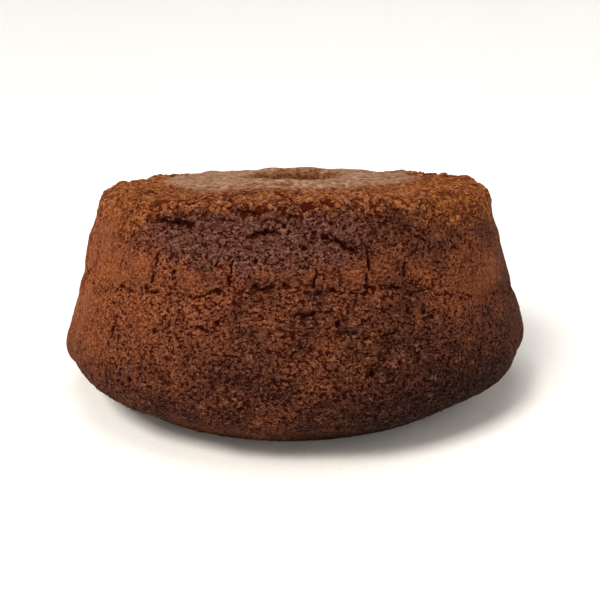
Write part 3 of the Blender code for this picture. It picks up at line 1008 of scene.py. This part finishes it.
def add_values(mesh, name, values):
    """A number at each point of the mesh, which the material reads by name."""
    mesh.attributes.new(name, "FLOAT", "POINT").data.foreach_set("value", values.astype(np.float32))


def crust_band(surface, name, first, last, material):
    """One band of the cake: its rows of the surface, and two sides that meet at the middle of the section."""
    rows = np.arange(first, last + 1) % len(surface.columns)
    chosen = np.concatenate([np.arange(surface.starts[row], surface.starts[row + 1]) for row in rows])
    far_side = side_rings(surface, rows[-1])
    near_side = side_rings(surface, rows[0])[:-1]
    inner = far_side + near_side[::-1]
    points = np.concatenate([surface.points[chosen]] + inner)
    columns = np.concatenate([surface.columns[rows], [len(ring) for ring in inner]])
    ring = np.repeat(np.arange(len(columns)), columns)
    starts = np.concatenate([[0], np.cumsum(columns)])
    azimuth = (np.arange(len(points)) - starts[ring]) * 2.0 * np.pi / columns[ring]
    triangles = ring_triangles(columns)
    piece = new_piece(name, points, triangles, material)
    normals = point_normals(points, triangles)
    normals[: len(chosen)] = surface.normals[chosen]
    hidden = len(points) - len(chosen)
    for key, values in zip(VALUE_NAMES, surface.values):
        add_values(piece.data, key, np.concatenate([values[chosen], np.zeros(hidden)]))
    layer = piece.data.uv_layers.new(name="OFBake")
    layout = spread_map(triangles, ring, columns, azimuth, len(rows))
    layer.uv.foreach_set("vector", layout.astype(np.float32).ravel())
    piece.data.normals_split_custom_set_from_vertices(normals.tolist())
    return piece


def lump_directions():
    """Unit directions of a closed lump, two poles and LOOSE_RINGS rings between them, and its triangles.

    With each corner of each triangle goes its place on a flat map: columns across, rings up.
    """
    rings, columns = LOOSE_RINGS, LOOSE_COLUMNS
    down = np.arange(1, rings + 1)[:, None] * np.pi / (rings + 1)
    turn = np.arange(columns)[None, :] * 2.0 * np.pi / columns
    level = np.cos(down) + turn * 0.0
    sides = np.stack([np.sin(down) * np.cos(turn), np.sin(down) * np.sin(turn), level], axis=2)
    directions = np.concatenate([[[0.0, 0.0, 1.0]], sides.reshape(-1, 3), [[0.0, 0.0, -1.0]]])
    column = np.arange(columns)
    beside = (column + 1) % columns
    last = 1 + rings * columns
    corners = [(column * 0, 1 + column, 1 + beside)]
    places = [((column + 0.5, 0), (column, 1), (column + 1, 1))]
    for ring in range(1, rings):
        a, b = 1 + (ring - 1) * columns + column, 1 + (ring - 1) * columns + beside
        c, d = 1 + ring * columns + beside, 1 + ring * columns + column
        corners += [(a, d, c), (a, c, b)]
        near, far = (column, ring), (column + 1, ring)
        places += [(near, (column, ring + 1), (column + 1, ring + 1)), (near, (column + 1, ring + 1), far)]
    corners.append((last - columns + column, column * 0 + last, last - columns + beside))
    places.append(((column, rings), (column + 0.5, rings + 1), (column + 1, rings)))
    triangles = np.concatenate([np.stack(three, axis=1) for three in corners])
    flat = []
    for three in places:
        spots_on_map = [np.stack([across / columns, across * 0.0 + up / (rings + 1.0)], axis=1) for across, up in three]
        flat.append(np.stack(spots_on_map, axis=1))
    return directions, triangles, np.concatenate(flat)


def loose_crumbs(surface, material):
    """Crumbs that cling to the shoulder and the top: lumps at random places there, each turned its own way.

    A lump is its directions times its radius, its stretch along three axes and a random share at each point. It
    is sunk into the surface by a random part of its radius. Its tone is its own, and it has no cracks.
    """
    draw = np.random.default_rng(LOOSE_SEED)
    browned, _, skin = surface.zones[:3]
    likely = browned * (1.0 - skin) * (surface.turned[:, 2] > LOOSE_LOW)
    likely *= LOOSE_ASIDE + (1.0 - LOOSE_ASIDE) * over_torn(surface.azimuth)
    chosen = draw.choice(len(likely), LOOSE_CRUMBS, replace=False, p=likely / likely.sum())
    low, high = LOOSE_RADII
    radii = low + (high - low) * draw.uniform(size=LOOSE_CRUMBS) ** LOOSE_SMALL_MANY
    turns = np.linalg.qr(draw.normal(size=(LOOSE_CRUMBS, 3, 3)))[0]
    turns[:, :, 0] *= np.sign(np.linalg.det(turns))[:, None]
    directions, triangles, flat = lump_directions()
    stretch = draw.uniform(*LOOSE_STRETCH, (LOOSE_CRUMBS, 1, 3))
    lumpy = 1.0 + LOOSE_LUMPINESS * draw.uniform(-1.0, 1.0, (LOOSE_CRUMBS, len(directions), 1))
    shapes = np.einsum("nij,nkj->nki", turns, directions[None] * stretch * lumpy) * radii[:, None, None]
    sunk = draw.uniform(*LOOSE_SUNK, LOOSE_CRUMBS) * radii
    middles = surface.points[chosen] + surface.out[chosen] * sunk[:, None]
    points = (shapes + middles[:, None]).reshape(-1, 3)
    first = np.arange(LOOSE_CRUMBS)[:, None, None] * len(directions)
    piece = new_piece("loose_crumbs", points, (triangles[None] + first).reshape(-1, 3), material)
    values = [np.repeat(zone[chosen], len(directions)) for zone in surface.zones]
    values.append(np.full(len(points), LOOSE_OPEN))
    values.append(np.repeat(draw.uniform(*LOOSE_TONES, LOOSE_CRUMBS), len(directions)))
    values += [np.zeros(len(points))] * 2
    for key, value in zip(VALUE_NAMES, values):
        add_values(piece.data, key, value)
    cells = math.ceil(math.sqrt(LOOSE_CRUMBS))
    cell = np.stack([np.arange(LOOSE_CRUMBS) % cells, np.arange(LOOSE_CRUMBS) // cells], axis=1)
    layout = (cell[:, None, None] + LOOSE_MAP_MARGIN + (1.0 - 2.0 * LOOSE_MAP_MARGIN) * flat[None]) / cells
    piece.data.uv_layers.new(name="OFBake").uv.foreach_set("vector", layout.astype(np.float32).ravel())
    return piece


def hex_colour(code):
    """An sRGB hex value as linear red, green, blue and 1: v / 12.92 below 0.04045, else the 2.4 power curve."""
    parts = [int(code[place : place + 2], 16) / 255.0 for place in (0, 2, 4)]
    linear = [part / 12.92 if part <= 0.04045 else ((part + 0.055) / 1.055) ** 2.4 for part in parts]
    return (*linear, 1.0)


def add(tree, kind, values=None, links=None, **settings):
    """Adds one shader node: its settings by name, its input values, and links from other nodes' outputs."""
    node = tree.nodes.new("ShaderNode" + kind)
    for name, value in settings.items():
        setattr(node, name, value)
    for key, value in (values or {}).items():
        node.inputs[key].default_value = value
    for key, output in (links or {}).items():
        tree.links.new(output, node.inputs[key])
    return node


def crumb_crust():
    """Baked chocolate crumb, turned out of a greased tin: dull and dried out where it browned, darker where it tore,
    with painted shade in its hollows and painted highlights on its tips.
    """
    material = bpy.data.materials.new("baked_chocolate_crumb")
    material.use_nodes = True
    tree = material.node_tree
    shader = tree.nodes["Principled BSDF"]
    shader.inputs["IOR"].default_value = CRUMB_IOR
    shader.inputs["Specular IOR Level"].default_value = CRUMB_SPECULAR
    shader.inputs["Roughness"].default_value = CRUMB_ROUGHNESS
    place = add(tree, "TexCoord").outputs["Object"]
    browned, torn, skin, tube, painted_shade, dry_and_lit, calm, openness, tone, across, near = (
        add(tree, "Attribute", attribute_name=name).outputs["Fac"] for name in VALUE_NAMES
    )

    # Cocoa and browning vary in patches as wide as a finger, and from grain to grain
    patches = add(tree, "TexNoise", {"Scale": 1.0 / PATCH_LENGTH, "Detail": 3.0}, {"Vector": place}).outputs[0]
    patches = add(tree, "MapRange", {"From Min": PATCH_VALUES[0], "From Max": PATCH_VALUES[1]}, {"Value": patches}).outputs[0]
    flat = add(tree, "VectorMath", {1: FLAT_CRUMB}, {0: place}, operation="MULTIPLY").outputs[0]
    grains = add(
        tree, "TexNoise", {"Scale": 1.0 / COLOUR_GRAIN, "Detail": 4.0, "Roughness": 0.65}, {"Vector": flat}
    ).outputs[0]
    soft = add(
        tree, "TexNoise", {"Scale": 1.0 / CALM_GRAIN, "Detail": 2.0, "Roughness": 0.55}, {"Vector": flat}
    ).outputs[0]
    grains = add(tree, "Mix", {}, {0: calm, VALUE_A: grains, VALUE_B: soft}).outputs[0]
    grains = add(
        tree, "MapRange", {"From Min": GRAIN_VALUES[0], "From Max": GRAIN_VALUES[1]}, {"Value": grains}
    ).outputs[0]

    # The kinds of crust, one over the other
    wall = add(
        tree, "Mix", {COLOUR_A: hex_colour(WALL_DARK), COLOUR_B: hex_colour(WALL_LIGHT)}, {0: patches}, data_type="RGBA"
    ).outputs[2]
    mottle = add(
        tree, "TexNoise", {"Scale": 1.0 / CROWN_MOTTLE, "Detail": 4.0, "Roughness": 0.6}, {"Vector": place}
    ).outputs[0]
    mottle = add(tree, "MapRange", {"From Min": MOTTLE_VALUES[0], "From Max": MOTTLE_VALUES[1]}, {"Value": mottle}).outputs[0]
    shoulder = add(
        tree, "Mix", {COLOUR_A: hex_colour(SHOULDER_LIGHT), COLOUR_B: hex_colour(SHOULDER_ROSY)}, {0: mottle}, data_type="RGBA"
    ).outputs[2]
    shoulder = add(
        tree, "Mix", {COLOUR_A: hex_colour(SHOULDER_DARK)}, {0: grains, COLOUR_B: shoulder}, data_type="RGBA"
    ).outputs[2]
    crown = add(
        tree, "Mix", {COLOUR_A: hex_colour(CROWN_DARK), COLOUR_B: hex_colour(CROWN_LIGHT)}, {0: mottle}, data_type="RGBA"
    ).outputs[2]
    # Painted shade, darker at the foot and in the shaded places of the wall
    colour = add(tree, "Mix", {COLOUR_B: hex_colour(PAINTED_SHADE_CRUST)}, {0: painted_shade, COLOUR_A: wall}, data_type="RGBA").outputs[2]
    # Dried-out crust, partly its own paler colour and partly painted light
    colour = add(tree, "Mix", {COLOUR_B: hex_colour(DRY_LIT_CRUST)}, {0: dry_and_lit, COLOUR_A: colour}, data_type="RGBA").outputs[2]
    colour = add(tree, "Mix", {}, {0: browned, COLOUR_A: colour, COLOUR_B: shoulder}, data_type="RGBA").outputs[2]
    colour = add(tree, "Mix", {COLOUR_B: hex_colour(TORN_CRUMB)}, {0: torn, COLOUR_A: colour}, data_type="RGBA").outputs[2]
    colour = add(tree, "Mix", {}, {0: skin, COLOUR_A: colour, COLOUR_B: crown}, data_type="RGBA").outputs[2]
    colour = add(tree, "Mix", {COLOUR_B: hex_colour(TUBE_CRUST)}, {0: tube, COLOUR_A: colour}, data_type="RGBA").outputs[2]

    # Crevices between the grains, and cavities, in a crumb that is bent and flattened as it rose: painted shade in the
    # colour, and depth for the bump
    bend = add(tree, "TexNoise", {"Scale": 1.0 / BEND_LENGTH, "Detail": 1.0}, {"Vector": place}).outputs["Color"]
    bend = add(tree, "VectorMath", {1: (0.5, 0.5, 0.5)}, {0: bend}, operation="SUBTRACT").outputs[0]
    bend = add(tree, "VectorMath", {"Scale": BEND_DEPTH}, {0: bend}, operation="SCALE").outputs[0]
    bent = add(tree, "VectorMath", {}, {0: place, 1: bend}, operation="ADD").outputs[0]
    bent = add(tree, "VectorMath", {1: FLAT_CRUMB}, {0: bent}, operation="MULTIPLY").outputs[0]
    edges = add(
        tree, "TexVoronoi", {"Scale": 1.0 / CREVICE_CELL}, {"Vector": bent}, feature="DISTANCE_TO_EDGE"
    ).outputs["Distance"]
    breaks = add(
        tree, "TexNoise", {"Scale": 1.0 / CREVICE_BREAK_LENGTH, "Detail": 1.0}, {"Vector": bent}
    ).outputs[0]
    reach = add(
        tree,
        "MapRange",
        {"From Min": CREVICE_BREAKS[0], "From Max": CREVICE_BREAKS[1], "To Max": CREVICE_REACH},
        {"Value": breaks},
    ).outputs[0]
    crevice = add(tree, "Math", {}, {0: reach, 1: edges}, operation="SUBTRACT").outputs[0]
    crevice = add(tree, "MapRange", {"From Max": CREVICE_SOFTNESS}, {"Value": crevice}).outputs[0]
    cavity = add(
        tree, "TexNoise", {"Scale": 1.0 / CAVITY_LENGTH, "Detail": 2.0, "Roughness": 0.55}, {"Vector": bent}
    ).outputs[0]
    cavity = add(
        tree,
        "MapRange",
        {"From Min": CAVITY_VALUES[0], "From Max": CAVITY_VALUES[1]},
        {"Value": cavity},
    ).outputs[0]
    gap = add(tree, "Math", {}, {0: crevice, 1: cavity}, operation="MAXIMUM").outputs[0]
    opened = add(tree, "MapRange", {"From Max": OPEN_AT_FULL}, {"Value": openness}).outputs[0]
    gap = add(tree, "Math", {}, {0: gap, 1: opened}, operation="MULTIPLY").outputs[0]
    # Painted shade along each crack: a dark line where a place lies close across it
    across = add(tree, "Math", {}, {0: across}, operation="ABSOLUTE").outputs[0]
    crack = add(
        tree, "MapRange", {"From Min": CRACK_SHADE_LINE[0], "From Max": CRACK_SHADE_LINE[1]}, {"Value": across}
    ).outputs[0]
    crack = add(tree, "Math", {}, {0: crack, 1: near}, operation="MULTIPLY").outputs[0]
    gap = add(tree, "Math", {}, {0: gap, 1: crack}, operation="MAXIMUM").outputs[0]

    # Painted light on the grains: they are multiplied between painted shade and painted light, tips and glints are
    # mixed toward a painted highlight, and pits, crevices and cracks get a deeper red brown painted shade
    speckle = add(tree, "Mix", {VECTOR_A: GRAIN_SHADED, VECTOR_B: GRAIN_LIT}, {0: grains}, data_type="VECTOR").outputs[1]
    calm = add(tree, "Math", {1: GRAIN_CALM}, {0: calm}, operation="MULTIPLY").outputs[0]
    speckle = add(tree, "Mix", {VECTOR_B: (1.0, 1.0, 1.0)}, {0: calm, VECTOR_A: speckle}, data_type="VECTOR").outputs[1]
    colour = add(tree, "VectorMath", {}, {0: colour, 1: speckle}, operation="MULTIPLY").outputs[0]
    # Painted glints: pale flecks where the crumb is open
    glints = add(tree, "TexNoise", {"Scale": 1.0 / GLINT_LENGTH, "Detail": 1.0}, {"Vector": bent}).outputs[0]
    glints = add(
        tree,
        "MapRange",
        {"From Min": GLINT_VALUES[0], "From Max": GLINT_VALUES[1], "To Max": GLINT_SHARE},
        {"Value": glints},
    ).outputs[0]
    glints = add(tree, "Math", {}, {0: glints, 1: openness}, operation="MULTIPLY").outputs[0]
    # Painted highlights on the raised tips, with the painted glints added
    tips = add(tree, "MapRange", {"From Min": TIP_HIGHLIGHT_TONES[0], "From Max": TIP_HIGHLIGHT_TONES[1], "To Max": TIP_HIGHLIGHT_SHARE}, {"Value": tone}).outputs[0]
    tips = add(tree, "Math", {}, {0: tips, 1: glints}, operation="ADD", use_clamp=True).outputs[0]
    colour = add(tree, "Mix", {COLOUR_B: hex_colour(TIP_HIGHLIGHT)}, {0: tips, COLOUR_A: colour}, data_type="RGBA").outputs[2]
    # Painted shade in the pits, crevices and cracks, multiplied in as a deeper red brown
    pit = add(
        tree, "MapRange", {"From Min": PIT_SHADE_TONES[0], "From Max": PIT_SHADE_TONES[1]}, {"Value": tone}
    ).outputs[0]
    pit = add(tree, "Math", {}, {0: pit, 1: gap}, operation="MAXIMUM", use_clamp=True).outputs[0]
    colour = add(
        tree, "Mix", {COLOUR_B: hex_colour(PIT_SHADE_TINT)}, {0: pit, COLOUR_A: colour}, data_type="RGBA", blend_type="MULTIPLY"
    ).outputs[2]
    tree.links.new(colour, shader.inputs["Base Color"])

    # Crumb finer than the modelled grain: flour and sugar grains, and the depth of those crevices
    fine = add(
        tree, "TexNoise", {"Scale": 1.0 / FINE_GRAIN, "Detail": 3.0, "Roughness": 0.6}, {"Vector": place}
    ).outputs[0]
    bump = add(tree, "Bump", {"Strength": 1.0, "Distance": FINE_DEPTH}, {"Height": fine}).outputs[0]
    bump = add(
        tree, "Bump", {"Strength": 1.0, "Distance": CAVITY_DEPTH}, {"Height": gap, "Normal": bump}, invert=True
    ).outputs[0]
    tree.links.new(bump, shader.inputs["Normal"])
    return material


def paper_floor():
    """Matt studio paper: pale, warm white and faintly mottled."""
    material = bpy.data.materials.new("matt_studio_paper")
    material.use_nodes = True
    tree = material.node_tree
    shader = tree.nodes["Principled BSDF"]
    shader.inputs["Roughness"].default_value = PAPER_ROUGHNESS
    place = add(tree, "TexCoord").outputs["Object"]
    fibres = add(tree, "TexNoise", {"Scale": 1.0 / PAPER_FIBRE, "Detail": 2.0}, {"Vector": place}).outputs[0]
    colour = add(
        tree,
        "Mix",
        {COLOUR_A: hex_colour(PAPER_DARK), COLOUR_B: hex_colour(PAPER_LIGHT)},
        {0: fibres},
        data_type="RGBA",
    ).outputs[2]
    tree.links.new(colour, shader.inputs["Base Color"])
    return material


def studio_sweep(material):
    """The floor and its backdrop in one: a flat disc whose rim rises in a quarter circle, turned about the axis."""
    flat = np.linspace(0.0, SWEEP_FLAT_RADIUS, SWEEP_FLAT_RINGS)
    bend = np.linspace(0.0, np.pi / 2.0, SWEEP_BEND_RINGS)[1:]
    radius = np.concatenate([flat[1:], SWEEP_FLAT_RADIUS + SWEEP_BEND * np.sin(bend)])
    height = np.concatenate([flat[1:] * 0.0, SWEEP_BEND * (1.0 - np.cos(bend))]) - FLOOR_GAP
    azimuth = np.arange(SWEEP_COLUMNS) * 2.0 * np.pi / SWEEP_COLUMNS
    places = np.stack([radius, height], axis=1)
    rings = [
        turn_places(np.tile(place, (SWEEP_COLUMNS, 1)), azimuth)
        for place in places
    ]
    points = np.concatenate([[[0.0, 0.0, -FLOOR_GAP]]] + rings)
    parts = [
        stitch(1 + (row + 1) * SWEEP_COLUMNS, SWEEP_COLUMNS, 1 + row * SWEEP_COLUMNS, SWEEP_COLUMNS)
        for row in range(len(radius) - 1)
    ]
    column = np.arange(SWEEP_COLUMNS)
    middle = np.stack([column * 0, 1 + column, 1 + (column + 1) % SWEEP_COLUMNS], axis=1)
    sweep = new_piece("studio_sweep", points, np.concatenate([middle] + parts), material)


def softbox(name, place, aim, size, power, colour):
    """A square area light at a place, turned towards the point that it aims at."""
    light = bpy.data.lights.new(name, "AREA")
    light.shape = "SQUARE"
    light.size = size
    light.energy = power
    light.color = hex_colour(colour)[:3]
    lamp = bpy.data.objects.new(name, light)
    lamp.location = place
    lamp.rotation_euler = (Vector(aim) - Vector(place)).to_track_quat("-Z", "Y").to_euler()
    bpy.context.scene.collection.objects.link(lamp)


def studio_light():
    """The lights: the softboxes, a ring of lights aimed at the sweep, and a pale surround."""
    for settings in SOFTBOXES:
        softbox(*settings)
    for index in range(SWEEP_LIGHTS):
        turn = math.pi / 2.0 + index * 2.0 * math.pi / SWEEP_LIGHTS
        place, aim = (
            (radius * math.cos(turn), radius * math.sin(turn), height)
            for radius, height in (SWEEP_LIGHT_PLACE, SWEEP_LIGHT_AIM)
        )
        softbox(f"sweep_light_{index + 1}", place, aim, SWEEP_LIGHT_SIZE, SWEEP_LIGHT_POWER, SWEEP_LIGHT_COLOUR)
    world = bpy.data.worlds.new("pale_surround")
    world.use_nodes = True
    back = world.node_tree.nodes["Background"]
    back.inputs["Color"].default_value = hex_colour(SURROUND_COLOUR)
    back.inputs["Strength"].default_value = SURROUND_STRENGTH
    bpy.context.scene.world = world
    bpy.context.scene.view_settings.view_transform = "Standard"


def camera():
    """The camera where the photo was taken from: a little above the cake and close to it."""
    lens = bpy.data.cameras.new("camera")
    lens.sensor_width = SENSOR_WIDTH
    lens.lens = LENS
    lens.clip_start = CLIP_START
    eye = bpy.data.objects.new("camera", lens)
    eye.matrix_world = (
        Matrix.Translation(EYE)
        @ Matrix.Rotation(EYE_TURN, 4, "Z")
        @ Matrix.Rotation(math.pi / 2.0 - EYE_DOWN, 4, "X")
        @ Matrix.Rotation(EYE_ROLL, 4, "Z")
    )
    bpy.context.scene.collection.objects.link(eye)
    bpy.context.scene.camera = eye


def main():
    """Builds the cake's pieces and the studio."""
    surface = Surface()
    crust = crumb_crust()
    pieces = [crust_band(surface, name, first, last, crust) for name, first, last in band_rows(surface)]
    for piece in pieces + [loose_crumbs(surface, crust)]:
        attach(piece, BODY)
        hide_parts(NODE)
    studio_sweep(paper_floor())
    studio_light()
    camera()


main()
